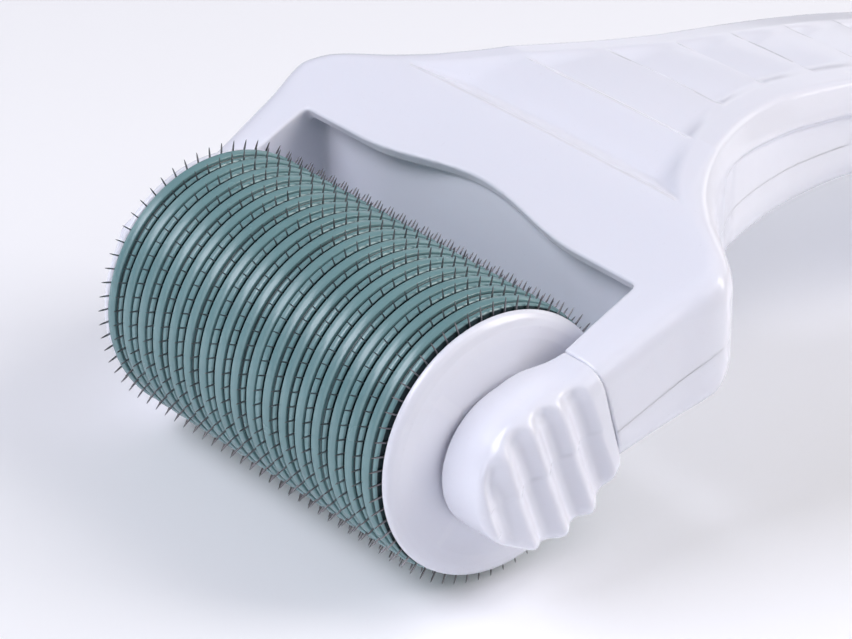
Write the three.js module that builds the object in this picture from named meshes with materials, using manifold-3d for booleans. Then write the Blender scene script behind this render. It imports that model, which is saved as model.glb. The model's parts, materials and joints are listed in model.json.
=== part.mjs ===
import * as THREE from 'three';
import { mergeVertices } from 'three/addons/utils/BufferGeometryUtils.js';
import Module from 'manifold-3d';

const wasm = await Module();
wasm.setup();

// A derma roller. Lengths are in millimetres. The model is laid out around the drum's axle:
// +X towards the handle's tail, +Y along the axle, +Z up. The whole group is then moved so
// that the origin is under the middle of the part, on the surface that it lies on.

const MERGE_DISTANCE = 1e-4;

// Drum
const NEEDLE_ROWS = 18;
const NEEDLES_PER_ROW = 60;
const ROW_PITCH = 2.6;
const TIP_RADIUS = 14.9;
const NEEDLE_ROOT_RADIUS = 9.6;
const DISC_THICKNESS = 0.2;
const DISC_GAP = 0.07;
const RING_RADIUS = 14;
const RING_BAND = 1.25;
const RING_SLOPE = 0.35;
const RING_LIP_DROP = 0.3;
const RING_SIDES = 30;
const HUB_SIDES = 12;
const HUB_RADIUS = 7.4;
const HUB_GAP = 0.08;
const AXLE_RADIUS = 1.5;
const AXLE_SIDES = 24;
const AXLE_RUNNING_GAP = 0.05;
const AXLE_SEAT_GAP = 0.04;
const AXLE_HALF_LENGTH = 28.8;
const AXLE_SEAT_HALF_LENGTH = 29;
const CAP_RADIUS = 13.6;
const CAP_THICKNESS = 1.6;
const CAP_SIDES = 48;
const CAP_RIM = [[0.2, 0], [0, 0.5], [0.5, 1.1], [1.6, 1.45], [5, 1.6]];

// Fork and lugs
const ARM_INNER = 26;
const ARM_SLOPE = THREE.MathUtils.degToRad(20);
const SEAM_TILT = THREE.MathUtils.degToRad(15);
const SEAM_X = 5.6;
const SEAM_Z = 8.9;
const SEAM_GAP = 0.12;
const LUG_RADIUS = 7.9;
const LUG_DROP = 0.4;
const LUG_INNER = 24.25;
const LUG_OUTER = 31.5;
const LUG_BEVEL = 1.7;
const LUG_BACK = 14;
const LUG_HEEL = 3;
const LUG_BACK_RISE = 5;
const LUG_TOP_FRONT = 2.6;
const LUG_ARC_START = 100;
const LUG_ARC_STEP = 12.5;
const LUG_ARC_POINTS = 17;
const GROOVE_COUNT = 4;
const GROOVE_PITCH = 3.6;
const GROOVE_FIRST = -5.9;
const GROOVE_RADIUS = 2;
const GROOVE_DEPTH = 1.1;
const GROOVE_SIDES = 18;
const TONGUE_LENGTH = 8.5;
const TONGUE_WIDTH = 2.6;
const TONGUE_HEIGHT = 5.2;
const TONGUE_Y = 29;
const TONGUE_PAST_SEAM = 1.2;
const TONGUE_DROP = 5.6;
const TONGUE_GAP = 0.15;

// Handle
const PARTING_GAP = 0.12;
const YOKE_WALL_X = 16.6;
const LIP_X = 14.3;
const LIP_SCOOP = 2;
const LIP_SCOOP_HALF = 17;
const LIP_THICKNESS = 1.6;
const LIP_POINTS = 16;
const LIP_UNDERSIDE = [-10, 8, 12, LIP_X, YOKE_WALL_X];
const ARCH_START_X = 33;
const ARCH_START_Z = 18.9;
const ARCH_CURVE = 0.003;
const TAIL_X = 128;
const SHELL_WALL = 2.2;
const CAVITY_HALF = 24;
const CAVITY_SHOULDER = 1.5;
const CROWN = [[18, 0], [34, 0.5], [TAIL_X, 0.4]];
const CROWN_SHARE = [0.55, 0.7];
const BEVEL = [[14, 1.2], [24, 2], [50, 3], [TAIL_X, 2.6]];
const BEVEL_LIMIT = 0.4;
const HEEL = 2.4;
const HEEL_LIMIT = [0.3, 0.4];
const BEYOND = 60;
const STEP_DEPTH = 0.75;
const FIRST_STEP_DEPTH = 1.2;
const STEP_BORDER = 3.5;
const STEP_BORDER_POINTS = 20;
const STEP_RUN_OUT = 0.02;
const STEP_CLEAR = 3;
const STEP_EDGES = [24, 32.4, 40.4, 47.9, 55.3, 62.9, 70.6, 78.4];

const PARTING_SHARE = [[6, 0.36], [20, 0.46], [40, 0.42], [TAIL_X, 0.42]];
const TOP_HEIGHT = [[-2, 5.9], [14.2, 13.6], [24, 17.7], [ARCH_START_X, ARCH_START_Z]];
const BOTTOM_HEIGHT = [
  [-2, -5.7], [6, -2.8], [14.4, 0.3], [20, 2.3], [26, 3.2], [35, 3.8], [44, 4.4], [57, 5.1], [65, 4.1],
  [74, 2.1], [84, -1.3], [95, -5.9], [105, -10.8], [113, -TIP_RADIUS], [122, -TIP_RADIUS],
  [126, -13.2], [TAIL_X, -11.6],
];
const TOP_HALF_WIDTH = [
  [-2, 29.4], [6, 30.2], [14, 31.4], [18.2, 32.2], [20.2, 30.9], [24.4, 24], [27.5, 20.5], [33.6, 16],
  [43.5, 11.3], [50, 9.9], [58, 9.6], [75, 10.2], [95, 11.6], [112, 11.2], [120, 9.2],
  [125, 6], [TAIL_X, 1.4],
];
const SIDE_HALF_WIDTH = [
  [-2, 30.7], [6, 31.5], [14, 32.6], [18.8, 33.5], [20.8, 32.4], [24.4, 27], [28, 22], [34.5, 16.6],
  [42, 13.2], [50, 11.4], [58, 11], [75, 11.6], [95, 13.2], [112, 12.8], [120, 10.9],
  [125, 7.6], [TAIL_X, 2.2],
];
const STATIONS = [
  -2, 6, 14.2, 18.4, 19.6, 20.8, 22.4, 24.4, 27.5, 31, 34.5, 39, 44, 50, 57, 65, 74, 84, 95, 105, 113,
  118, 122, 125, 126.8, TAIL_X,
];
const CAVITY_STATIONS = [19.2, 24.4, 29, 34.5, 42, 50, 58, 74, 90, 105, 113, 118];

const WHITE = new THREE.MeshStandardMaterial({ color: 0xe6e7f2, roughness: 0.28, metalness: 0 });
const TEAL = new THREE.MeshStandardMaterial({ color: 0x6f9f9c, roughness: 0.2, metalness: 0 });
const STEEL = new THREE.MeshStandardMaterial({ color: 0xb9bbc0, roughness: 0.3, metalness: 1 });

// Smooth curve through [position, value] knots that never overshoots a knot.
function along(knots, x) {
  const last = knots.length - 1;
  const at = Math.min(Math.max(knots.findIndex((knot) => knot[0] > x) - 1, 0), last - 1);
  const i = x >= knots[last][0] ? last - 1 : at;
  const slope = (k) => (knots[k + 1][1] - knots[k][1]) / (knots[k + 1][0] - knots[k][0]);
  const tangent = (k) => {
    if (k === 0 || k === last) return slope(Math.min(k, last - 1));
    const before = slope(k - 1);
    const after = slope(k);
    return before * after <= 0 ? 0 : (2 * before * after) / (before + after);
  };
  const span = knots[i + 1][0] - knots[i][0];
  const t = THREE.MathUtils.clamp((x - knots[i][0]) / span, 0, 1);
  const rest = 1 - t;
  return (1 + 2 * t) * rest * rest * knots[i][1] + t * rest * rest * span * tangent(i)
    + t * t * (3 - 2 * t) * knots[i + 1][1] - t * t * rest * span * tangent(i + 1);
}

function topHeight(x) {
  if (x < ARCH_START_X) return along(TOP_HEIGHT, x);
  return ARCH_START_Z - ARCH_CURVE * (x - ARCH_START_X) ** 2;
}

function bottomHeight(x) {
  return along(BOTTOM_HEIGHT, x);
}

function partingHeight(x) {
  return THREE.MathUtils.lerp(bottomHeight(x), topHeight(x), along(PARTING_SHARE, x));
}

function solid(geometry) {
  const bare = geometry.index ? geometry.toNonIndexed() : geometry.clone();
  bare.deleteAttribute('normal');
  bare.deleteAttribute('uv');
  const merged = mergeVertices(bare, MERGE_DISTANCE);
  return new wasm.Manifold(new wasm.Mesh({
    numProp: 3,
    vertProperties: new Float32Array(merged.attributes.position.array),
    triVerts: new Uint32Array(merged.index.array),
  }));
}

function geometryOf(manifold) {
  const mesh = manifold.getMesh();
  const geometry = new THREE.BufferGeometry();
  geometry.setAttribute('position', new THREE.BufferAttribute(new Float32Array(mesh.vertProperties), 3));
  geometry.setIndex(new THREE.BufferAttribute(new Uint32Array(mesh.triVerts), 1));
  return geometry;
}

// A closed outline of [x, z] points, drawn out along Y from yLow to yHigh.
function sidePrism(outline, yLow, yHigh, holes = [], extra = {}) {
  const shape = new THREE.Shape(outline.map(([x, z]) => new THREE.Vector2(x, z)));
  holes.forEach((hole) => shape.holes.push(new THREE.Path(hole.map(([x, z]) => new THREE.Vector2(x, z)))));
  const geometry = new THREE.ExtrudeGeometry(shape, { depth: yHigh - yLow, bevelEnabled: false, ...extra });
  geometry.rotateX(Math.PI / 2);
  geometry.translate(0, yHigh, 0);
  return geometry;
}

// A closed outline of [x, y] points, drawn out along Z.
function planPrism(outline, zLow, zHigh) {
  const shape = new THREE.Shape(outline.map(([x, y]) => new THREE.Vector2(x, y)));
  const geometry = new THREE.ExtrudeGeometry(shape, { depth: zHigh - zLow, bevelEnabled: false });
  geometry.translate(0, 0, zLow);
  return geometry;
}

// Skin over rings of points with the same count, closed at both ends.
function loft(rings) {
  const count = rings[0].length;
  const points = rings.flat();
  const faces = [];
  for (let i = 0; i + 1 < rings.length; i += 1) {
    for (let j = 0; j < count; j += 1) {
      const k = (j + 1) % count;
      const a = i * count + j;
      const b = i * count + k;
      faces.push(a, b, a + count, b, b + count, a + count);
    }
  }
  const end = (rings.length - 1) * count;
  for (let j = 1; j + 1 < count; j += 1) {
    faces.push(0, j + 1, j);
    faces.push(end, end + j, end + j + 1);
  }
  const geometry = new THREE.BufferGeometry();
  geometry.setAttribute('position', new THREE.Float32BufferAttribute(points.flat(), 3));
  geometry.setIndex(faces);
  return geometry;
}

function regular(radius, sides, start = 0) {
  return Array.from({ length: sides }, (_, i) => {
    const angle = start + (i * 2 * Math.PI) / sides;
    return [radius * Math.cos(angle), radius * Math.sin(angle)];
  });
}

// A profile of [radius, y] points turned about the Y axis.
function turned(profile, sides) {
  const points = [...profile, profile[0]].map(([r, y]) => new THREE.Vector2(r, y));
  return new THREE.LatheGeometry(points, sides);
}

function handleSection(x) {
  const top = topHeight(x);
  const bottom = bottomHeight(x);
  const topHalf = along(TOP_HALF_WIDTH, x);
  const sideHalf = along(SIDE_HALF_WIDTH, x);
  const depth = top - bottom;
  const crown = along(CROWN, x);
  const bevel = Math.min(along(BEVEL, x), depth * BEVEL_LIMIT);
  const heel = Math.min(HEEL, depth * HEEL_LIMIT[0]);
  const half = [
    [topHalf * CROWN_SHARE[0], top + crown * CROWN_SHARE[1]],
    [topHalf, top],
    [sideHalf, top - bevel],
    [sideHalf, bottom + heel],
    [sideHalf - Math.min(heel, sideHalf * HEEL_LIMIT[1]), bottom],
  ];
  const left = half.map(([y, z]) => [x, -y, z]);
  const right = half.map(([y, z]) => [x, y, z]).reverse();
  return [[x, 0, top + crown], ...left, ...right];
}

function cavitySection(x) {
  const half = Math.min(along(TOP_HALF_WIDTH, x) - SHELL_WALL, CAVITY_HALF);
  const top = topHeight(x) - SHELL_WALL;
  const bottom = bottomHeight(x) + SHELL_WALL;
  const shoulder = Math.min(CAVITY_SHOULDER, half * HEEL_LIMIT[1]);
  return [
    [x, -half + shoulder, top], [x, -half, top - shoulder], [x, -half, bottom + shoulder],
    [x, -half + shoulder, bottom], [x, half - shoulder, bottom], [x, half, bottom + shoulder],
    [x, half, top - shoulder], [x, half - shoulder, top],
  ];
}

// Everything on the drum's side of the seam that closes each arm.
function seamSide(offset) {
  const down = new THREE.Vector2(Math.sin(SEAM_TILT), -Math.cos(SEAM_TILT));
  const across = new THREE.Vector2(-Math.cos(SEAM_TILT), -Math.sin(SEAM_TILT));
  const start = new THREE.Vector2(SEAM_X, SEAM_Z).addScaledVector(across, offset);
  const corners = [
    start.clone().addScaledVector(down, -BEYOND),
    start.clone().addScaledVector(down, BEYOND),
    start.clone().addScaledVector(down, BEYOND).addScaledVector(across, BEYOND),
    start.clone().addScaledVector(down, -BEYOND).addScaledVector(across, BEYOND),
  ];
  return solid(sidePrism(corners.map((p) => [p.x, p.y]), -BEYOND, BEYOND));
}

// The bar that a lug pushes into its arm, or with a gap the socket for it.
function tongue(side, gap) {
  const box = new THREE.BoxGeometry(2 * TONGUE_LENGTH, TONGUE_WIDTH + 2 * gap, TONGUE_HEIGHT + 2 * gap);
  box.translate(gap, 0, 0);
  box.rotateY(-ARM_SLOPE);
  box.translate(SEAM_X + TONGUE_PAST_SEAM, side * TONGUE_Y, SEAM_Z - TONGUE_DROP);
  return solid(box);
}

function lipOutline() {
  const edge = Array.from({ length: LIP_POINTS + 1 }, (_, i) => {
    const y = THREE.MathUtils.lerp(-ARM_INNER, ARM_INNER, i / LIP_POINTS);
    const inside = Math.abs(y) < LIP_SCOOP_HALF;
    const share = inside ? (1 + Math.cos((Math.PI * y) / LIP_SCOOP_HALF)) / 2 : 0;
    return [LIP_X + LIP_SCOOP * share, y];
  });
  return [[-BEYOND, ARM_INNER], [-BEYOND, -ARM_INNER], ...edge];
}

function openingCut() {
  const mouth = solid(planPrism(lipOutline(), -BEYOND, BEYOND));
  const lipBottom = LIP_UNDERSIDE.map((x) => [x, topHeight(x) - LIP_THICKNESS]);
  const outline = [[LIP_UNDERSIDE[0], -BEYOND], [YOKE_WALL_X, -BEYOND], ...lipBottom.reverse()];
  const below = sidePrism(outline, -ARM_INNER, ARM_INNER);
  return mouth.add(solid(below));
}

function stepCut() {
  const first = STEP_EDGES[0] - STEP_RUN_OUT / 2;
  const last = STEP_EDGES[STEP_EDGES.length - 1];
  const side = Array.from({ length: STEP_BORDER_POINTS + 1 }, (_, i) => {
    const x = THREE.MathUtils.lerp(first, last, i / STEP_BORDER_POINTS);
    return [x, along(TOP_HALF_WIDTH, x) - STEP_BORDER];
  });
  const panel = [...side.map(([x, y]) => [x, -y]), ...side.reverse()];
  const wedges = STEP_EDGES.slice(0, -1).map((x, i) => {
    const next = STEP_EDGES[i + 1];
    const depth = i === 0 ? FIRST_STEP_DEPTH : STEP_DEPTH;
    const outline = [
      [x, topHeight(x) - depth], [next, topHeight(next) - STEP_RUN_OUT],
      [next, topHeight(next) + STEP_CLEAR], [x, topHeight(x) + STEP_CLEAR],
    ];
    return solid(sidePrism(outline, -BEYOND, BEYOND));
  });
  const teeth = wedges.reduce((all, wedge) => all.add(wedge));
  return teeth.intersect(solid(planPrism(panel, -BEYOND, BEYOND)));
}

function partingHalf(isUpper) {
  const gap = isUpper ? PARTING_GAP / 2 : -PARTING_GAP / 2;
  const ends = [-BEYOND, TAIL_X + BEYOND];
  const line = [ends[0], ...STATIONS, ends[1]].map((x) => [x, partingHeight(x) + gap]);
  const far = isUpper ? BEYOND : -BEYOND;
  return solid(sidePrism([...line, [ends[1], far], [ends[0], far]], -BEYOND, BEYOND));
}

function handleShells() {
  let blank = solid(loft(STATIONS.map(handleSection)));
  blank = blank.subtract(openingCut());
  blank = blank.subtract(seamSide(-SEAM_GAP / 2));
  blank = blank.subtract(solid(loft(CAVITY_STATIONS.map(cavitySection))));
  blank = blank.subtract(tongue(1, TONGUE_GAP)).subtract(tongue(-1, TONGUE_GAP));
  return {
    upper: blank.intersect(partingHalf(true)).subtract(stepCut()),
    lower: blank.intersect(partingHalf(false)),
  };
}

function lugOutline() {
  const arc = Array.from({ length: LUG_ARC_POINTS }, (_, i) => {
    const angle = THREE.MathUtils.degToRad(LUG_ARC_START + i * LUG_ARC_STEP);
    return [LUG_RADIUS * Math.cos(angle), LUG_RADIUS * Math.sin(angle) - LUG_DROP];
  });
  const heel = SEAM_X + LUG_HEEL;
  const heelHeight = bottomHeight(heel);
  return [
    ...arc,
    [heel, heelHeight], [LUG_BACK, heelHeight + Math.tan(ARM_SLOPE) * LUG_BACK_RISE],
    [LUG_BACK, topHeight(LUG_BACK)], [SEAM_X, topHeight(SEAM_X)], [LUG_TOP_FRONT, topHeight(LUG_TOP_FRONT)],
  ];
}

function lug(side) {
  const bevel = { bevelEnabled: true, bevelThickness: LUG_BEVEL, bevelSize: LUG_BEVEL, bevelSegments: 2 };
  const ends = [side * (LUG_INNER + LUG_BEVEL), side * (LUG_OUTER - LUG_BEVEL)].sort((a, b) => a - b);
  const block = sidePrism(lugOutline(), ends[0], ends[1], [], { ...bevel, bevelOffset: -LUG_BEVEL });
  let body = solid(block).intersect(seamSide(SEAM_GAP / 2));
  const across = new THREE.Vector3(-Math.sin(ARM_SLOPE), 0, Math.cos(ARM_SLOPE));
  for (let i = 0; i < GROOVE_COUNT; i += 1) {
    const groove = new THREE.CylinderGeometry(GROOVE_RADIUS, GROOVE_RADIUS, BEYOND, GROOVE_SIDES);
    groove.applyQuaternion(new THREE.Quaternion().setFromUnitVectors(new THREE.Vector3(0, 1, 0), across));
    const shift = GROOVE_FIRST + i * GROOVE_PITCH;
    groove.translate(
      shift * Math.cos(ARM_SLOPE),
      side * (LUG_OUTER + GROOVE_RADIUS - GROOVE_DEPTH),
      shift * Math.sin(ARM_SLOPE),
    );
    body = body.subtract(solid(groove));
  }
  const seatRadius = AXLE_RADIUS + AXLE_SEAT_GAP;
  const seat = new THREE.CylinderGeometry(seatRadius, seatRadius, 2 * AXLE_SEAT_HALF_LENGTH, AXLE_SIDES);
  return body.add(tongue(side, 0)).subtract(solid(seat));
}

function needleDisc(row) {
  const turn = (2 * Math.PI) / NEEDLES_PER_ROW;
  const golden = (Math.sqrt(5) - 1) / 2;
  const phase = ((row * golden) % 1) * turn;
  const star = Array.from({ length: 2 * NEEDLES_PER_ROW }, (_, i) => {
    const radius = i % 2 === 0 ? TIP_RADIUS : NEEDLE_ROOT_RADIUS;
    const angle = phase + (i * turn) / 2;
    return [radius * Math.cos(angle), radius * Math.sin(angle)];
  });
  const half = DISC_THICKNESS / 2;
  return sidePrism(star, -half, half, [regular(HUB_RADIUS + HUB_GAP, HUB_SIDES)]);
}

function spacerRing() {
  const half = ROW_PITCH / 2 - DISC_THICKNESS / 2 - DISC_GAP;
  const bore = (HUB_RADIUS + HUB_GAP) / Math.cos(Math.PI / RING_SIDES);
  const lip = RING_RADIUS - RING_LIP_DROP;
  return turned([
    [bore, -half], [lip, -half], [lip, half - RING_BAND - RING_SLOPE], [RING_RADIUS, half - RING_BAND],
    [RING_RADIUS, half], [bore, half],
  ], RING_SIDES);
}

function drumHub() {
  const half = (NEEDLE_ROWS - 1) * ROW_PITCH / 2;
  const bore = (AXLE_RADIUS + AXLE_RUNNING_GAP) / Math.cos(Math.PI / AXLE_SIDES);
  return sidePrism(regular(HUB_RADIUS, HUB_SIDES), -half, half, [regular(bore, AXLE_SIDES)]);
}

function endCap() {
  const bore = (AXLE_RADIUS + AXLE_RUNNING_GAP) / Math.cos(Math.PI / AXLE_SIDES);
  const inner = (NEEDLE_ROWS - 1) * ROW_PITCH / 2 + DISC_THICKNESS / 2 + DISC_GAP;
  const rim = CAP_RIM.map(([inset, height]) => [CAP_RADIUS - inset, inner + height]);
  return turned([[bore, inner], ...rim, [bore, inner + CAP_THICKNESS]], CAP_SIDES);
}

const group = new THREE.Group();
const centreX = (TAIL_X - TIP_RADIUS) / 2;
group.position.set(-centreX, 0, TIP_RADIUS);

function place(name, geometry, material, y = 0) {
  const mesh = new THREE.Mesh(geometry, material);
  mesh.name = name;
  mesh.position.y = y;
  group.add(mesh);
  return mesh;
}

const shells = handleShells();
place('handle_upper_shell', geometryOf(shells.upper), WHITE);
place('handle_lower_shell', geometryOf(shells.lower), WHITE);
place('near_end_lug', geometryOf(lug(-1)), WHITE);
place('far_end_lug', geometryOf(lug(1)), WHITE);
const pin = new THREE.CylinderGeometry(AXLE_RADIUS, AXLE_RADIUS, 2 * AXLE_HALF_LENGTH, AXLE_SIDES);
place('axle_pin', pin, STEEL);
place('drum_hub', drumHub(), TEAL);
place('far_end_cap', endCap(), WHITE);
place('near_end_cap', endCap(), WHITE).rotation.z = Math.PI;
for (let row = 0; row < NEEDLE_ROWS; row += 1) {
  const y = (row - (NEEDLE_ROWS - 1) / 2) * ROW_PITCH;
  const number = String(row + 1).padStart(2, '0');
  place(`needle_disc_${number}`, needleDisc(row), STEEL, y);
  if (row + 1 < NEEDLE_ROWS) {
    place(`spacer_ring_${number}`, spacerRing(), TEAL, y + ROW_PITCH / 2);
  }
}

export default group;
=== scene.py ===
import json
import math

import bmesh
import bpy
import numpy as np
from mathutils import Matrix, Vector


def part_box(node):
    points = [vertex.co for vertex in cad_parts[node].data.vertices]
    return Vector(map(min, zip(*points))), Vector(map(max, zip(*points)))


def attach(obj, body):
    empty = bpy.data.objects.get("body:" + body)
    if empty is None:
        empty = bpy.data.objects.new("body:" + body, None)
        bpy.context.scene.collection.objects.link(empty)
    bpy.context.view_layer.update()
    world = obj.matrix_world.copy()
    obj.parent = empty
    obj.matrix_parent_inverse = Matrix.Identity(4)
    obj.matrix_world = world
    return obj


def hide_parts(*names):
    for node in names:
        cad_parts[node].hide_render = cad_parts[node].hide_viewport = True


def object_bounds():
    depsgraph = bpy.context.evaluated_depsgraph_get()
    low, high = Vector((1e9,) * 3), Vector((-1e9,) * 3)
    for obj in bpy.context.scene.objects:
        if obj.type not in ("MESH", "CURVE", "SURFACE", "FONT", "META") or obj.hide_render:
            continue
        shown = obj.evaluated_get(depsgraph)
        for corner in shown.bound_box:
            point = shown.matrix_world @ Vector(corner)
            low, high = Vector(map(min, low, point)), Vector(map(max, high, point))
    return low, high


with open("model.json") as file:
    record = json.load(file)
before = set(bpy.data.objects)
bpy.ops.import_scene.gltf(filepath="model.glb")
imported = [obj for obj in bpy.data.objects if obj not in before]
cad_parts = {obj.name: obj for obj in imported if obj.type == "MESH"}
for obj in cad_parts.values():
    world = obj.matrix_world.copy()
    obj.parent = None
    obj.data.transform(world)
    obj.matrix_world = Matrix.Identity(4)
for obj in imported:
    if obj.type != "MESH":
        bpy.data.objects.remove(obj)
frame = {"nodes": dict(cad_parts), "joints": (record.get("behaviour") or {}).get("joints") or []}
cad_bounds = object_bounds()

# A derma roller on a pale table. Shapes are laid out in millimetres around the drum's axle, as the
# CAD part is: +X towards the tail, +Y along the axle, +Z up. Y is mirrored for the two arms.
MM = 0.001
SPIN = next(joint for joint in frame["joints"] if joint["name"] == "drum_spin")
AXLE = np.array(SPIN["pos_m"])
# The CAD's box around the axle, with a margin taken off each side
MARGIN = 0.002
INSIDE = (np.array(cad_bounds) - AXLE) / MM + np.array([[MARGIN], [-MARGIN]])


def centre(node):
    low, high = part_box(node)
    return np.array((low + high) / 2)


# Drum
ROWS = 18
NEEDLES = 60
TIP_RADIUS = (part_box("needle_disc_01")[1].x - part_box("needle_disc_01")[0].x) / 2 / MM
PITCH = (centre("needle_disc_18") - centre("needle_disc_01"))[1] / MM / (ROWS - 1)
GOLDEN = (math.sqrt(5) - 1) / 2
MERGE_DISTANCE = 2e-6
# Radius, half the width and half the thickness along a tooth of a needle disc. None is the full pitch.
NEEDLE_SHAPE = [
    (7.5, None, 0.1), (12.3, None, 0.1), (12.7, 0.1, 0.1), (13.3, 0.075, 0.09), (14.3, 0.062, 0.065),
    (TIP_RADIUS - 0.2, 0.04, 0.04), (TIP_RADIUS, 0.006, 0.008),
]
RING_HALF = 1.09
RING_RADIUS = 14.0
RING_BAND = 1.2
RING_LIP_DROP = 0.2
RING_LIP_SPREAD = 0.03
RING_GROOVE = 0.2
RING_GROOVE_SPREAD = 0.12
RING_GROOVE_DROP = 0.24
# Corners of a ring as (out, along), from the start and end of its lip, and of its band
RING_LIP_START = [(-0.14, 0), (0, 0.14), (0.02, 0.35)]
RING_LIP_END = [(-0.05, -0.1), (-RING_GROOVE_DROP, 0)]
RING_BAND_START = [(-0.12, 0), (-0.01, 0.3)]
RING_CROWN = (RING_RADIUS + 0.02, 0.5)
RING_BAND_END = [(-0.03, -0.25), (-0.16, 0)]
RING_BORE = 7.62
RING_EDGE = 0.14
RING_SIDES = 144
CAP_RADIUS = 13.6
CAP_INNER = (ROWS - 1) * PITCH / 2 + 0.17
CAP_THICKNESS = 1.6
# Corners of a cap as (out, along), from its inner face and from its outer face
CAP_RIM = [(-0.2, 0), (0, 0.35), (-0.1, 0.8)]
CAP_DOME = [(-0.6, -0.42), (-1.3, -0.2), (-2.5, -0.07), (-6, 0)]
CAP_BORE = 1.6
CAP_EDGE = 1.2
CAP_SIDES = 180
AXLE_RADIUS = 1.5
AXLE_SEAT_GAP = 0.04
AXLE_SEAT_END = 29

# Arms and lugs
ARM_INNER = 26.0
ARM_SLOPE = math.radians(20)
SEAM_TILT = math.radians(15)
SEAM_X = 5.6
SEAM_Z = 8.9
SEAM_GAP = 0.1
EDGE_AT_SEAM = 0.22
LUG_RADIUS = 7.5
LUG_STRETCH = 1.07
LUG_SHIFT = 0.1
LUG_FOOT = (5.3, -5.5)
LUG_HEEL_X = SEAM_X + 3
LUG_BAR_EDGE = 1.0
LUG_NECK = 2.2
LUG_INNER_EDGE = 0.5
LUG_EDGE = 1.5
LUG_EDGE_ADDED = 0.7
LUG_EDGE_FROM = -5
LUG_EDGE_RUN = 7
LUG_OUTER = 31.5
LUG_INNER = [[-9, 24.25], [1, 24.3], [5.8, 26], [16, 26]]
GROOVES = 4
GROOVE_PITCH = 3.6
GROOVE_FIRST = -5.9
GROOVE_DEPTH = 1.0
GROOVE_SHARPNESS = 1.3
GROOVE_SHIFT = 0.22
GROOVE_SHIFT_BELOW = 1.2
GROOVE_SHIFT_RUN = 0.5
GROOVE_FADE_START = 0.2
GROOVE_FADE_RUN = 1.3
GROOVE_OPEN_BELOW = -2
GROOVE_OPEN_SLOPE = 1.5
TONGUE_HALF = (8.5, 1.3, 2.6)
TONGUE_AT = (SEAM_X + 1.2, 29.0, SEAM_Z - 5.6)
TONGUE_GAP = 0.15

# Handle
PARTING_GAP = 0.03
PARTING_EDGE = 0.02
WALL_X = 17.0
WALL_PARTING_DROP = 5.0
WALL_PARTING_Y = ARM_INNER + 1
WALL_PARTING_Y_RUN = 0.8
WALL_PARTING_X = WALL_X + 3
WALL_PARTING_X_RUN = 1.2
LIP_X = 14.3
LIP_SCOOP = 2.0
LIP_SCOOP_HALF = 17.0
LIP_THICKNESS = 1.6
LIP_LEAN = 0.4
ARCH_START_X = 33
ARCH_START_Z = 18.9
ARCH_CURVE = 0.003
TAIL_X = 128
STEP_DEPTH = 0.75
FIRST_STEP_DEPTH = 1.3
STEP_BORDER = 3.5
SCOOP_TURN = 0.3
STEP_TURN = 0.13
STEP_FALL_CURVE = 1.5
STEP_RISE_CURVE = 1.15
STEP_END_RUN = 2.2
STEP_EDGES = [24, 32.4, 40.4, 47.9, 55.3, 62.9, 70.6, 78.4]
PARTING_SHARE = [[6, 0.36], [20, 0.46], [40, 0.42], [TAIL_X, 0.42]]
TOP_HEIGHT = [[-2, 5.9], [14.2, 13.6], [24, 17.7], [ARCH_START_X, ARCH_START_Z]]
BOTTOM_HEIGHT = [
    [-2, -5.7], [6, -2.8], [14.4, 0.3], [20, 2.3], [26, 3.2], [35, 3.8], [44, 4.4], [57, 5.1], [65, 4.1],
    [74, 2.1], [84, -1.3], [95, -5.9], [105, -10.8], [113, -14.9], [122, -14.9], [126, -13.2],
    [TAIL_X, -11.6],
]
TOP_HALF_WIDTH = [
    [-2, 29.4], [6, 30.2], [14, 31.4], [18.2, 32.2], [20.2, 30.9], [24.4, 24], [27.5, 20.5], [33.6, 16],
    [43.5, 11.3], [50, 9.9], [58, 9.6], [75, 10.2], [95, 11.6], [112, 11.2], [120, 9.2], [125, 6],
    [TAIL_X, 1.4],
]
SIDE_HALF_WIDTH = [
    [-2, 30.7], [6, 31.5], [14, 32.6], [18.8, 33.5], [20.8, 32.4], [24.4, 27], [28, 22], [34.5, 16.6],
    [42, 13.2], [50, 11.4], [58, 11], [75, 11.6], [95, 13.2], [112, 12.8], [120, 10.9], [125, 7.6],
    [TAIL_X, 2.2],
]
BEVEL = [[14, 1.2], [24, 2], [50, 3], [TAIL_X, 2.6]]
BEVEL_SHARE = 0.4
BEVEL_TOP_EDGE = [[14, 1.5], [22, 0.9], [34, 0.5]]
BEVEL_SIDE_EDGE = [[14, 1.5], [22, 0.9], [34, 0.35]]
UNDER_EDGE = 4.4
UNDER_EDGE_SHARE = 0.5
TAIL_EDGE = 1.2
STEP_EDGE = 0.3
STEP_END_EDGE = 0.5
MOUTH_EDGE = 0.3
MOUTH_CORNER = 0.9
LIP_EDGE = 0.4
CROWN = [[18, 0.1], [34, 0.5], [TAIL_X, 0.4]]
CROWN_LOWER = 0.1
SET_IN = [[33.5, 0], [38, 0.75], [TAIL_X, 0.75]]
SET_IN_START = 0.1
SET_IN_RUN = 1.1
SLOPE_REACH = 0.05


def along(knots, x):
    """Smooth curve through [position, value] knots that never overshoots a knot."""
    at, value = np.array(knots, float).T
    span = np.diff(at)
    slope = np.diff(value) / span
    product = slope[:-1] * slope[1:]
    total = slope[:-1] + slope[1:]
    inner = np.where(product > 0, 2 * product / np.where(product > 0, total, 1), 0)
    tangent = np.concatenate([slope[:1], inner, slope[-1:]])
    i = np.clip(np.searchsorted(at, x, side="right") - 1, 0, len(span) - 1)
    t = np.clip((x - at[i]) / span[i], 0, 1)
    rest = 1 - t
    return ((1 + 2 * t) * rest * rest * value[i] + t * rest * rest * span[i] * tangent[i]
            + t * t * (3 - 2 * t) * value[i + 1] - t * t * rest * span[i] * tangent[i + 1])


def ease(t):
    t = np.clip(t, 0, 1)
    return t * t * (3 - 2 * t)


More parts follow.
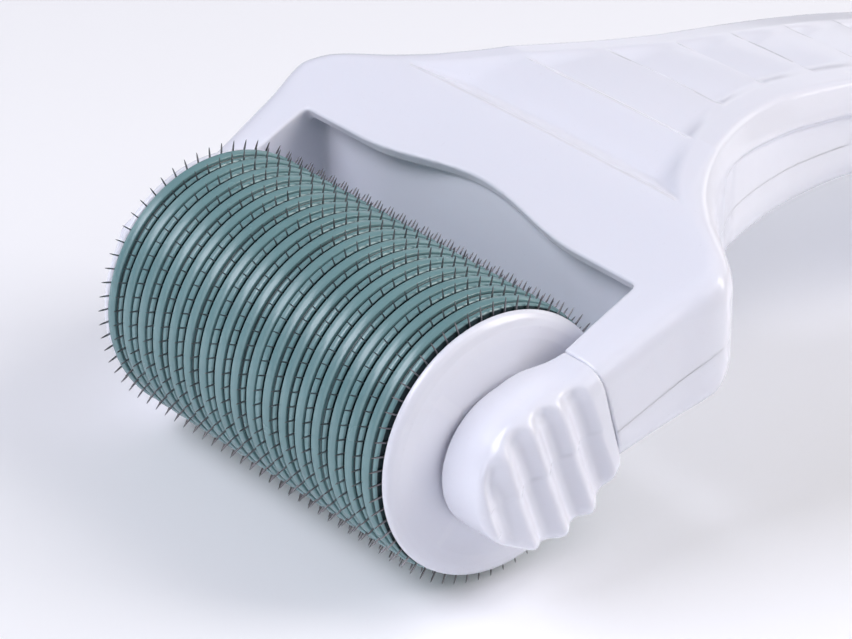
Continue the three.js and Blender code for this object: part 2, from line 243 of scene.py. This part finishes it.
def smooth_max(a, b, k):
    """Larger of two distances, with a fillet about k wide where they meet."""
    h = np.clip(1 - np.abs(a - b) / k, 0, 1)
    return np.maximum(a, b) + k * h * h / 4


def smooth_min(a, b, k):
    return -smooth_max(-a, -b, k)


def round_max(a, b, r):
    """Larger of two distances, with an edge of radius r."""
    a, b = a + r, b + r
    return np.minimum(np.maximum(a, b), 0) + np.hypot(np.maximum(a, 0), np.maximum(b, 0)) - r


def steepness(curve, x):
    slope = (curve(x + SLOPE_REACH) - curve(x - SLOPE_REACH)) / (2 * SLOPE_REACH)
    return np.sqrt(1 + slope ** 2)


def top_height(x):
    arch = ARCH_START_Z - ARCH_CURVE * (x - ARCH_START_X) ** 2
    return np.where(x < ARCH_START_X, along(TOP_HEIGHT, x), arch)


def bottom_height(x):
    return along(BOTTOM_HEIGHT, x)


def side_half(x):
    return along(SIDE_HALF_WIDTH, x)


def parting_height(x, y):
    """Where the shells meet. Behind the drum the line is low, and the upper shell is the whole wall."""
    low = bottom_height(x)
    drop = (WALL_PARTING_DROP * ease((WALL_PARTING_Y - np.abs(y)) / WALL_PARTING_Y_RUN)
            * ease((WALL_PARTING_X - x) / WALL_PARTING_X_RUN))
    return low + (top_height(x) - low) * along(PARTING_SHARE, x) - drop


def seam(x, z):
    """Distance past the seam that closes each arm, positive on the drum's side."""
    return -(x - SEAM_X) * math.cos(SEAM_TILT) - (z - SEAM_Z) * math.sin(SEAM_TILT)


def tongue(x, a, z, gap):
    """Distance to the bar that a lug pushes into its arm, or with a gap to its socket."""
    dx, dz = x - TONGUE_AT[0], z - TONGUE_AT[2]
    run = dx * math.cos(ARM_SLOPE) + dz * math.sin(ARM_SLOPE)
    rise = dz * math.cos(ARM_SLOPE) - dx * math.sin(ARM_SLOPE)
    across = np.maximum(np.abs(a - TONGUE_AT[1]) - TONGUE_HALF[1], np.abs(rise) - TONGUE_HALF[2]) - gap
    return np.maximum(across, np.abs(run - gap) - TONGUE_HALF[0])


def steps(x, a, z, top_half, crest):
    """Distance to the wedges cut from the top face, which leave the grip's steps. Each falls from its near
    edge to a turn and rises from there to the next edge."""
    wedges = np.inf
    for i, (start, end) in enumerate(zip(STEP_EDGES, STEP_EDGES[1:])):
        first = i == 0
        depth = FIRST_STEP_DEPTH if first else STEP_DEPTH
        share = np.clip((x - start) / (end - start), 0, 1)
        turn = SCOOP_TURN if first else STEP_TURN
        fall = 1 - (1 - np.minimum(share / turn, 1)) ** STEP_FALL_CURVE
        rise = (1 - np.maximum(share - turn, 0) / (1 - turn)) ** STEP_RISE_CURVE
        ramp = crest - depth * fall * rise - z
        border = (a - top_half + STEP_BORDER + (crest - z) * STEP_END_RUN) / math.hypot(1, STEP_END_RUN)
        wedge = np.maximum(smooth_max(ramp, border, STEP_END_EDGE), np.maximum(start - x, x - end))
        wedges = np.minimum(wedges, wedge)
    return wedges


def handle(x, y, z):
    a = np.abs(y)
    top, bottom = top_height(x), bottom_height(x)
    top_half = along(TOP_HALF_WIDTH, x)
    side = side_half(x)
    depth = top - bottom
    bevel = np.minimum(along(BEVEL, x), depth * BEVEL_SHARE)
    crown = (along(CROWN, x) - CROWN_LOWER) * (1 - np.minimum(a / top_half, 1) ** 2)
    roof = (z - top - crown) / steepness(top_height, x)
    run = side - top_half
    facet = ((a - top_half) * bevel + (z - top) * run) / np.hypot(bevel, run) / steepness(side_half, x)
    set_in = along(SET_IN, x) * ease((top - bevel + SET_IN_START - z) / SET_IN_RUN)
    flank = (a - side + set_in) / steepness(side_half, x)
    body = smooth_max(roof, facet, along(BEVEL_TOP_EDGE, x))
    body = smooth_max(body, flank, along(BEVEL_SIDE_EDGE, x))
    floor = (bottom - z) / steepness(bottom_height, x)
    body = smooth_max(body, floor, np.minimum(UNDER_EDGE, depth * UNDER_EDGE_SHARE))
    body = smooth_max(body, x - TAIL_X, TAIL_EDGE)
    body = smooth_max(body, -steps(x, a, z, top_half, top + crown), STEP_EDGE)

    scoop = np.where(a < LIP_SCOOP_HALF, (1 + np.cos(math.pi * a / LIP_SCOOP_HALF)) / 2, 0)
    edge = LIP_X + LIP_SCOOP * scoop + LIP_LEAN * np.clip(top - z, 0, LIP_THICKNESS)
    lip = (x - np.minimum(edge, WALL_X)) / math.hypot(1, LIP_LEAN)
    under = smooth_max(x - WALL_X, z - top + LIP_THICKNESS, MOUTH_EDGE)
    mouth = smooth_max(smooth_min(lip, under, LIP_EDGE), a - ARM_INNER, MOUTH_CORNER)
    body = smooth_max(body, -mouth, MOUTH_EDGE)
    body = smooth_max(body, seam(x, z) + SEAM_GAP / 2, EDGE_AT_SEAM)
    return np.maximum(body, -tongue(x, a, z, TONGUE_GAP))


def upper_shell(x, y, z):
    return smooth_max(handle(x, y, z), parting_height(x, y) + PARTING_GAP / 2 - z, PARTING_EDGE)


def lower_shell(x, y, z):
    return smooth_max(handle(x, y, z), z - parting_height(x, y) + PARTING_GAP / 2, PARTING_EDGE)


def lug(x, y, z):
    a = np.abs(y)
    ahead = x * math.cos(ARM_SLOPE) + z * math.sin(ARM_SLOPE)
    up = z * math.cos(ARM_SLOPE) - x * math.sin(ARM_SLOPE)
    disc = np.hypot((ahead + LUG_SHIFT) / LUG_STRETCH, up + LUG_SHIFT) - LUG_RADIUS
    roof = (z - top_height(x)) / steepness(top_height, x)
    foot, heel = LUG_FOOT, (LUG_HEEL_X, bottom_height(LUG_HEEL_X))
    length = math.hypot(heel[0] - foot[0], heel[1] - foot[1])
    base = ((x - foot[0]) * (heel[1] - foot[1]) - (z - foot[1]) * (heel[0] - foot[0])) / length
    radial = (z * foot[0] - x * foot[1]) / -math.hypot(*foot)
    bar = smooth_max(smooth_max(roof, base, LUG_BAR_EDGE), np.maximum(-x, radial), LUG_BAR_EDGE)
    outline = smooth_min(disc, bar, LUG_NECK)

    shift = -GROOVE_SHIFT * ease((GROOVE_SHIFT_BELOW - up) / GROOVE_SHIFT_RUN)
    turns = (ahead - shift - GROOVE_FIRST) / GROOVE_PITCH
    crest = np.sin(math.pi * turns) ** 2
    crest = np.where(np.abs(turns - (GROOVES - 1) / 2) > GROOVES / 2, 1, crest)
    grooves = GROOVE_DEPTH * (1 - crest ** GROOVE_SHARPNESS)
    # The grooves fade out before the outline's edge, except low down, where they run out through it.
    opening = GROOVE_OPEN_SLOPE * np.maximum(GROOVE_OPEN_BELOW - up, 0)
    fade = ease((-outline + GROOVE_FADE_START + opening) / GROOVE_FADE_RUN)
    face = a - LUG_OUTER + grooves * fade
    inner = along(LUG_INNER, x) - a
    radius = LUG_EDGE + LUG_EDGE_ADDED * ease((up - LUG_EDGE_FROM) / LUG_EDGE_RUN)
    body = round_max(outline, face, radius)
    body = smooth_max(body, inner, LUG_INNER_EDGE)
    body = smooth_max(body, SEAM_GAP / 2 - seam(x, z), EDGE_AT_SEAM)
    body = np.minimum(body, tongue(x, a, z, 0))
    seat = np.maximum(np.hypot(x, z) - AXLE_RADIUS - AXLE_SEAT_GAP, a - AXLE_SEAT_END)
    return np.maximum(body, -seat)


def gradient(field, points, reach=0.02):
    shift = np.eye(3) * reach
    return np.stack([field(*(points + s).T) - field(*(points - s).T) for s in shift], 1) / (2 * reach)


def unit(vectors):
    return vectors / np.maximum(np.linalg.norm(vectors, axis=1, keepdims=True), 1e-9)


# Rows of cells worked out at once, and how strongly a cell's point is held to its crossings' mean
SLAB = 12
PULL_TO_MEAN = 0.08


def contour(field, low, high, step, reach=None):
    """Closed mesh where the field is zero, with its edges kept: one point per cell, set by the slopes at
    the cell's crossings. reach(x) gives how far from Y = 0 the solid goes there."""
    low = np.array(low, float)
    count = np.ceil((np.array(high) - low) / step).astype(int) + 1
    axes = [low[i] + step * np.arange(count[i]) for i in range(3)]
    value = np.ones(count, np.float32)
    for first in range(0, count[0], SLAB):
        xs = axes[0][first:first + SLAB]
        rows = np.ones(count[1], bool)
        if reach is not None:
            rows = np.abs(axes[1]) < reach(xs).max() + 2 * step
        ys = axes[1][rows]
        part = field(xs[:, None, None], ys[None, :, None], axes[2][None, None, :])
        value[first:first + SLAB, rows] = part

    cells = count - 1
    keys, spots, slopes, faces = [], [], [], []
    for axis in range(3):
        one = np.zeros(3, int)
        one[axis] = 1
        start = value[tuple(slice(0, n - s) for n, s in zip(count, one))]
        end = value[tuple(slice(s, None) for s in one)]
        at = np.argwhere((start < 0) != (end < 0))
        a, b = start[tuple(at.T)], end[tuple(at.T)]
        spot = low + step * (at + (a / (a - b))[:, None] * one)
        slope = unit(gradient(field, spot))
        u, v = np.eye(3, dtype=int)[(axis + 1) % 3], np.eye(3, dtype=int)[(axis + 2) % 3]
        corner = [np.ravel_multi_index((at - shift).T, cells) for shift in (u + v, v, 0 * u, u)]
        quad = np.stack(corner, 1)
        faces.append(np.where((a < 0)[:, None], quad, quad[:, ::-1]))
        for key in corner:
            keys.append(key)
            spots.append(spot)
            slopes.append(slope)
    keys, spots, slopes = np.concatenate(keys), np.concatenate(spots), np.concatenate(slopes)
    used, index = np.unique(keys, return_inverse=True)
    size = len(used)
    number = np.bincount(index, minlength=size)
    mean = np.stack([np.bincount(index, spots[:, i], size) for i in range(3)], 1) / number[:, None]
    offset = np.einsum("ij,ij->i", slopes, spots - mean[index])
    pull = np.stack([np.bincount(index, slopes[:, i] * offset, size) for i in range(3)], 1)
    matrix = np.empty((size, 3, 3))
    for i in range(3):
        for j in range(3):
            matrix[:, i, j] = np.bincount(index, slopes[:, i] * slopes[:, j], size)
    matrix += PULL_TO_MEAN * np.eye(3)
    move = np.linalg.solve(matrix, pull[:, :, None])[:, :, 0]
    middle = low + step * (np.stack(np.unravel_index(used, cells), 1) + 0.5)
    points = np.clip(mean + move, middle - 0.5 * step, middle + 0.5 * step)
    quads = np.searchsorted(used, np.concatenate(faces))
    return points, quads


def surface(name, points, faces, normals):
    """A smooth-shaded object from points in millimetres around the axle."""
    mesh = bpy.data.meshes.new(name)
    mesh.from_pydata((points * MM + AXLE).tolist(), [], faces.tolist())
    mesh.shade_smooth()
    mesh.normals_split_custom_set_from_vertices(unit(normals).tolist())
    piece = bpy.data.objects.new(name, mesh)
    bpy.context.scene.collection.objects.link(piece)
    return piece


def finish_piece(piece, body, nodes, material):
    piece.data.materials.append(material)
    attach(piece, body)
    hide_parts(*nodes)


def moulded(name, field, low, high, step, reach=None, shade=None):
    """A piece whose surface is where a distance field is zero. Its shading follows the field shade."""
    points, quads = contour(field, low, high, step, reach)
    points = np.clip(points, INSIDE[0], INSIDE[1])
    return surface(name, points, quads, gradient(shade or field, points))


CORNER_SEGMENTS = 4
CORNER_SHARE = 0.45


def rounded(profile, radius):
    """A closed outline of (r, y) corners with its corners rounded, the way each point faces, and which way
    round it goes. A rounding takes no more than a fixed share of each side."""
    corners = np.array(profile, float)
    turn = np.roll(corners, -1, 0) - corners
    area = (corners[:, 0] * np.roll(corners[:, 1], -1) - np.roll(corners[:, 0], -1) * corners[:, 1]).sum()
    side = 1 if area > 0 else -1
    points, facing = [], []
    for i, corner in enumerate(corners):
        before, after = turn[i - 1], turn[i]
        n0 = side * np.array([before[1], -before[0]]) / np.hypot(*before)
        n1 = side * np.array([after[1], -after[0]]) / np.hypot(*after)
        d0, d1 = before / np.hypot(*before), after / np.hypot(*after)
        angle = math.atan2(d0[0] * d1[1] - d0[1] * d1[0], d0 @ d1)
        room = CORNER_SHARE * np.hypot(*before), CORNER_SHARE * np.hypot(*after)
        cut = min(abs(radius * math.tan(angle / 2)), *room)
        for k in range(CORNER_SEGMENTS + 1):
            t = k / CORNER_SEGMENTS
            a, b = corner - d0 * cut, corner + d1 * cut
            points.append((1 - t) ** 2 * a + 2 * t * (1 - t) * corner + t * t * b)
            normal = (1 - t) * n0 + t * n1
            facing.append(normal / np.hypot(*normal))
    return np.array(points), np.array(facing), side


def turned(name, profile, radius, count, y=0, flip=False):
    """A piece turned about the axle from a closed (r, y) outline."""
    outline, facing, side = rounded(profile, radius)
    angle = 2 * math.pi * np.arange(count) / count
    cos, sin = np.cos(angle)[:, None], np.sin(angle)[:, None]
    mirror = -1 if flip else 1
    points = np.stack([cos * outline[:, 0], mirror * outline[:, 1] + 0 * cos, sin * outline[:, 0]], 2)
    normals = np.stack([cos * facing[:, 0], mirror * facing[:, 1] + 0 * cos, sin * facing[:, 0]], 2)
    points[:, :, 1] += y
    m = len(outline)
    i, j = np.meshgrid(np.arange(count), np.arange(m), indexing="ij")
    i2, j2 = (i + 1) % count, (j + 1) % m
    quads = np.stack([i * m + j, i * m + j2, i2 * m + j2, i2 * m + j], 2).reshape(-1, 4)
    if side * mirror < 0:
        quads = quads[:, ::-1]
    return surface(name, points.reshape(-1, 3), quads, normals.reshape(-1, 3))


# Materials. Where there are two colours, the surface drifts between them.
WHITE_COLOURS = (0.805, 0.82, 0.905), (0.82, 0.832, 0.915)
SPECK_COLOUR = (0.70, 0.70, 0.75)
EDGE_COLOUR = (0.86, 0.87, 0.94)
TEAL_COLOURS = (0.15, 0.27, 0.285), (0.18, 0.31, 0.325)
# Painted shade: the teal darkens towards this colour in the gaps below the rings' lips, from one radius in
# to a deeper one.
PAINTED_SHADE_COLOUR = (0.012, 0.025, 0.028)
PAINTED_SHADE_FROM = RING_RADIUS - 0.31
PAINTED_SHADE_TO = RING_RADIUS - 0.42
NEEDLE_COLOUR = (0.27, 0.26, 0.27)
AXLE_COLOUR = (0.62, 0.62, 0.63)
BLOTCH_SHADE = 0.62
PAPER_COLOURS = (0.83, 0.835, 0.86), (0.845, 0.85, 0.875)
# Painted light: the table glows faintly in this colour, which lifts the shadows on it.
PAINTED_TABLE_GLOW = (0.92, 0.94, 1, 1)


def shader(name, **values):
    material = bpy.data.materials.new(name)
    material.use_nodes = True
    node = material.node_tree.nodes["Principled BSDF"]
    for key, value in values.items():
        node.inputs[key.replace("_", " ")].default_value = value
    return material, node


def link(material, a, b):
    material.node_tree.links.new(a, b)


def add(material, kind, **values):
    node = material.node_tree.nodes.new(kind)
    for key, value in values.items():
        setattr(node, key, value)
    return node


def noise(material, coordinates, scale, detail):
    node = add(material, "ShaderNodeTexNoise")
    node.inputs["Scale"].default_value = scale
    node.inputs["Detail"].default_value = detail
    node.inputs["Roughness"].default_value = 0.5
    link(material, coordinates, node.inputs["Vector"])
    return node.outputs["Fac"]


def remap(material, value, low, high, to_low, to_high):
    node = add(material, "ShaderNodeMapRange")
    for key, number in zip(("From Min", "From Max", "To Min", "To Max"), (low, high, to_low, to_high)):
        node.inputs[key].default_value = number
    link(material, value, node.inputs["Value"])
    return node.outputs["Result"]


def mixed(material, factor, a, b):
    node = add(material, "ShaderNodeMix", data_type="RGBA")
    link(material, factor, node.inputs["Factor"])
    for socket, colour in ((node.inputs["A"], a), (node.inputs["B"], b)):
        if isinstance(colour, tuple):
            socket.default_value = (*colour, 1)
        else:
            link(material, colour, socket)
    return node.outputs["Result"]


def bumped(material, node, height, distance, strength):
    bump = add(material, "ShaderNodeBump")
    bump.inputs["Strength"].default_value = strength
    bump.inputs["Distance"].default_value = distance
    link(material, height, bump.inputs["Height"])
    link(material, bump.outputs["Normal"], node.inputs["Normal"])


def object_space(material):
    return add(material, "ShaderNodeTexCoord").outputs["Object"]


def white_plastic():
    material, node = shader(
        "white_plastic", IOR=1.5, Subsurface_Weight=0.25, Subsurface_Scale=0.0012,
        Subsurface_Radius=(1.0, 0.9, 0.9), Coat_Weight=0.15, Coat_Roughness=0.08)
    where = object_space(material)
    cloudy = noise(material, where, scale=45, detail=3)
    colour = mixed(material, remap(material, cloudy, 0.2, 0.8, 0, 1), *WHITE_COLOURS)
    specks = remap(material, noise(material, where, scale=2600, detail=1), 0.72, 0.8, 0, 0.25)
    colour = mixed(material, specks, colour, SPECK_COLOUR)
    edge = add(material, "ShaderNodeNewGeometry").outputs["Pointiness"]
    colour = mixed(material, remap(material, edge, 0.52, 0.6, 0, 0.35), colour, EDGE_COLOUR)
    link(material, colour, node.inputs["Base Color"])
    rough = remap(material, noise(material, where, scale=60, detail=3), 0.2, 0.8, 0.2, 0.27)
    link(material, rough, node.inputs["Roughness"])
    orange_peel = noise(material, where, scale=420, detail=2)
    bumped(material, node, orange_peel, distance=0.00001, strength=0.2)
    return material


def teal_plastic():
    material, node = shader(
        "teal_plastic", IOR=1.55, Subsurface_Weight=0.15, Subsurface_Scale=0.0006,
        Subsurface_Radius=(0.5, 1.0, 1.0))
    where = object_space(material)
    cloudy = noise(material, where, scale=120, detail=3)
    colour = mixed(material, remap(material, cloudy, 0.3, 0.7, 0, 1), *TEAL_COLOURS)
    # The distance from the axle in millimetres sets a painted shade, darkening the gaps below the rings'
    # lips.
    from_axle = add(material, "ShaderNodeVectorMath", operation="SUBTRACT")
    link(material, where, from_axle.inputs[0])
    from_axle.inputs[1].default_value = AXLE
    flat = add(material, "ShaderNodeVectorMath", operation="MULTIPLY")
    link(material, from_axle.outputs["Vector"], flat.inputs[0])
    flat.inputs[1].default_value = (1 / MM, 0, 1 / MM)
    radius = add(material, "ShaderNodeVectorMath", operation="LENGTH")
    link(material, flat.outputs["Vector"], radius.inputs[0])
    painted_shade = remap(material, radius.outputs["Value"], PAINTED_SHADE_FROM, PAINTED_SHADE_TO, 0, 0.93)
    link(material, mixed(material, painted_shade, colour, PAINTED_SHADE_COLOUR), node.inputs["Base Color"])
    rough = remap(material, noise(material, where, scale=300, detail=3), 0.3, 0.7, 0.2, 0.28)
    link(material, rough, node.inputs["Roughness"])
    # Fine lines run round the rings.
    stretch = add(material, "ShaderNodeMapping")
    stretch.inputs["Scale"].default_value = (60, 4000, 60)
    link(material, where, stretch.inputs["Vector"])
    lines = noise(material, stretch.outputs["Vector"], scale=1, detail=2)
    bumped(material, node, lines, distance=0.000012, strength=0.3)
    return material


def steel(name, tint):
    material, node = shader(name, Metallic=1.0)
    where = object_space(material)
    blotch = noise(material, where, scale=700, detail=3)
    dark = tuple(BLOTCH_SHADE * c for c in tint)
    colour = mixed(material, remap(material, blotch, 0.35, 0.65, 0, 1), dark, tint)
    link(material, colour, node.inputs["Base Color"])
    rough = remap(material, noise(material, where, scale=2500, detail=2), 0.3, 0.7, 0.25, 0.45)
    link(material, rough, node.inputs["Roughness"])
    grain = noise(material, where, scale=5000, detail=2)
    bumped(material, node, grain, distance=0.00001, strength=0.3)
    return material


WHITE = white_plastic()
TEAL = teal_plastic()
NEEDLE_STEEL = steel("needle_steel", NEEDLE_COLOUR)
AXLE_STEEL = steel("axle_steel", AXLE_COLOUR)

# Handle shells and lugs, each worked out inside a box that holds all of it
SHELL_STEP = 0.28
LUG_STEP = 0.2
SHELL_LOW = (-2, -35, -16)
UPPER_HIGH = (129, 35, 20.5)
LOWER_HIGH = (129, 35, 13)
LUG_BOX_X = (-9, 17)
LUG_BOX_Y = (23.5, 32.5)
LUG_BOX_Z = (-9.5, 12)

upper = moulded("handle_upper", upper_shell, SHELL_LOW, UPPER_HIGH, SHELL_STEP, side_half, handle)
finish_piece(upper, "handle", ["handle_upper_shell"], WHITE)
lower = moulded("handle_lower", lower_shell, SHELL_LOW, LOWER_HIGH, SHELL_STEP, side_half, handle)
finish_piece(lower, "handle", ["handle_lower_shell"], WHITE)
for side, name in ((-1, "near_end"), (1, "far_end")):
    ends = sorted(side * y for y in LUG_BOX_Y)
    low, high = zip(LUG_BOX_X, ends, LUG_BOX_Z)
    piece = moulded(f"{name}_arm_lug", lug, low, high, LUG_STEP)
    finish_piece(piece, "cartridge", [f"{name}_lug"], WHITE)


# Drum
def moved(corners, r, y):
    return [(r + out, y + ahead) for out, ahead in corners]


cap_outer = CAP_INNER + CAP_THICKNESS
cap_profile = [
    (CAP_BORE, CAP_INNER),
    *moved(CAP_RIM, CAP_RADIUS, CAP_INNER),
    *moved(CAP_DOME, CAP_RADIUS, cap_outer),
    (CAP_BORE, cap_outer),
]
for flip, name in ((True, "near_end"), (False, "far_end")):
    piece = turned(f"{name}_drum_cap", cap_profile, CAP_EDGE, CAP_SIDES, flip=flip)
    finish_piece(piece, "drum", [f"{name}_cap"], WHITE)

for i in range(ROWS - 1):
    # The moulding varies a little from ring to ring.
    groove = RING_GROOVE + RING_GROOVE_SPREAD * math.sin(2.4 * i + 0.6)
    lip = RING_RADIUS - RING_LIP_DROP - RING_LIP_SPREAD * math.sin(1.7 * i)
    band_start = RING_HALF - RING_BAND
    lip_end = band_start - groove
    profile = [
        (RING_BORE, -RING_HALF),
        *moved(RING_LIP_START, lip, -RING_HALF),
        *moved(RING_LIP_END, lip, lip_end),
        (lip - RING_GROOVE_DROP, band_start - 0.02),
        *moved(RING_BAND_START, RING_RADIUS, band_start),
        RING_CROWN,
        *moved(RING_BAND_END, RING_RADIUS, RING_HALF),
        (RING_BORE, RING_HALF),
    ]
    y = (i + 1 - ROWS / 2) * PITCH
    piece = turned(f"ring_{i + 1:02d}", profile, RING_EDGE, RING_SIDES, y=y)
    finish_piece(piece, "drum", [f"spacer_ring_{i + 1:02d}"], TEAL)


def needle_row(name, row):
    """A thin disc with a needle at each tooth, thinned towards its tip."""
    turn = 2 * math.pi / NEEDLES
    phase = (row * GOLDEN) % 1 * turn
    points, faces = [], []
    for n in range(NEEDLES):
        middle = phase + n * turn
        base = len(points)
        for r, half_width, thick in NEEDLE_SHAPE:
            half_angle = turn / 2 if half_width is None else half_width / r
            for sign, depth in ((-1, -1), (1, -1), (1, 1), (-1, 1)):
                angle = middle + sign * half_angle
                points.append((r * math.cos(angle), depth * thick, r * math.sin(angle)))
        last = len(NEEDLE_SHAPE) - 1
        for k in range(last):
            p, q = base + 4 * k, base + 4 * k + 4
            faces.append((p, p + 1, q + 1, q))
            faces.append((p + 2, p + 3, q + 3, q + 2))
            if k > 0:
                faces.append((p + 1, p + 2, q + 2, q + 1))
                faces.append((p + 3, p, q, q + 3))
        tip = base + 4 * last
        faces.append((tip, tip + 1, tip + 2, tip + 3))
        faces.append((base + 3, base + 2, base + 1, base))
    mesh = bpy.data.meshes.new(name)
    placed = np.array(points) + (0, (row - (ROWS - 1) / 2) * PITCH, 0)
    mesh.from_pydata((placed * MM + AXLE).tolist(), [], faces)
    shell = bmesh.new()
    shell.from_mesh(mesh)
    bmesh.ops.remove_doubles(shell, verts=shell.verts, dist=MERGE_DISTANCE)
    bmesh.ops.recalc_face_normals(shell, faces=shell.faces)
    shell.to_mesh(mesh)
    shell.free()
    piece = bpy.data.objects.new(name, mesh)
    bpy.context.scene.collection.objects.link(piece)
    return piece


for row in range(ROWS):
    piece = needle_row(f"needle_row_{row + 1:02d}", row)
    finish_piece(piece, "drum", [f"needle_disc_{row + 1:02d}"], NEEDLE_STEEL)

for node, material in (("drum_hub", TEAL), ("axle_pin", AXLE_STEEL)):
    data = frame["nodes"][node].data
    data.materials.clear()
    data.materials.append(material)

# Table, in metres
TABLE_RADIUS = 0.62
TABLE_SIDES = 96
mesh = bpy.data.meshes.new("table")
turns = np.linspace(0, 2 * math.pi, TABLE_SIDES, endpoint=False)
rim = [(TABLE_RADIUS * math.cos(t), TABLE_RADIUS * math.sin(t), 0) for t in turns]
mesh.from_pydata(rim, [], [list(range(TABLE_SIDES))])
table = bpy.data.objects.new("table", mesh)
bpy.context.scene.collection.objects.link(table)
# The table's faint glow is painted light that lifts its shadows and lights the pieces from below.
paper, node = shader("table_paper", Roughness=0.55, Emission_Color=PAINTED_TABLE_GLOW, Emission_Strength=0.1)
cloud = noise(paper, object_space(paper), scale=6, detail=2)
link(paper, mixed(paper, cloud, *PAPER_COLOURS), node.inputs["Base Color"])
mesh.materials.append(paper)

# Light
LIGHT_TARGET = Vector((-0.04, 0, 0.01))
LIGHT_DISTANCE = 0.75


def softbox(name, turn, rise, width, height, power, colour):
    data = bpy.data.lights.new(name, "AREA")
    data.shape = "RECTANGLE"
    data.size, data.size_y = width, height
    data.energy = power
    data.color = colour
    lamp = bpy.data.objects.new(name, data)
    turn, rise = math.radians(turn), math.radians(rise)
    out = Vector((math.cos(rise) * math.cos(turn), math.cos(rise) * math.sin(turn), math.sin(rise)))
    lamp.location = LIGHT_TARGET + LIGHT_DISTANCE * out
    lamp.rotation_euler = (-out).to_track_quat("-Z", "Y").to_euler()
    bpy.context.scene.collection.objects.link(lamp)


COOL, PLAIN, WARM = (0.90, 0.905, 1), (1, 0.985, 1), (1, 0.955, 0.93)
# Turn from +X towards +Y and rise above the table in degrees, then width, height, power and colour
softbox("left", 158, 48, 0.62, 0.35, 4.6, COOL)
softbox("left_low", 180, 18, 0.35, 0.35, 0.5, PLAIN)
softbox("right", 315, 38, 0.35, 0.6, 4.1, WARM)
softbox("front", 270, 48, 0.35, 0.35, 0.5, COOL)
softbox("back", 105, 20, 0.4, 0.3, 0.35, PLAIN)
softbox("back_right", 8, 18, 0.45, 0.3, 0.7, PLAIN)
softbox("edge", 42, 14, 0.3, 0.2, 0.16, PLAIN)

WORLD_COLOUR = (0.94, 0.96, 1, 1)
WORLD_STRENGTH = 0.03
world = bpy.data.worlds.new("studio")
bpy.context.scene.world = world
world.use_nodes = True
background = world.node_tree.nodes["Background"]
background.inputs["Color"].default_value = WORLD_COLOUR
background.inputs["Strength"].default_value = WORLD_STRENGTH

# Camera, in metres, with a long lens in millimetres
LENS = 178
SENSOR_WIDTH = 36
CLIP_START = 0.02
CAMERA_AT = Vector((-0.27905, -0.2928, 0.2081))
CAMERA_TARGET = Vector((-0.04584, 0.00149, 0.0149))
camera_data = bpy.data.cameras.new("camera")
camera_data.lens = LENS
camera_data.sensor_width = SENSOR_WIDTH
camera_data.clip_start = CLIP_START
camera = bpy.data.objects.new("camera", camera_data)
camera.location = CAMERA_AT
aim = CAMERA_TARGET - CAMERA_AT
camera.rotation_euler = aim.to_track_quat("-Z", "Y").to_euler()
bpy.context.scene.collection.objects.link(camera)
bpy.context.scene.camera = camera
bpy.context.scene.view_settings.view_transform = "Standard"
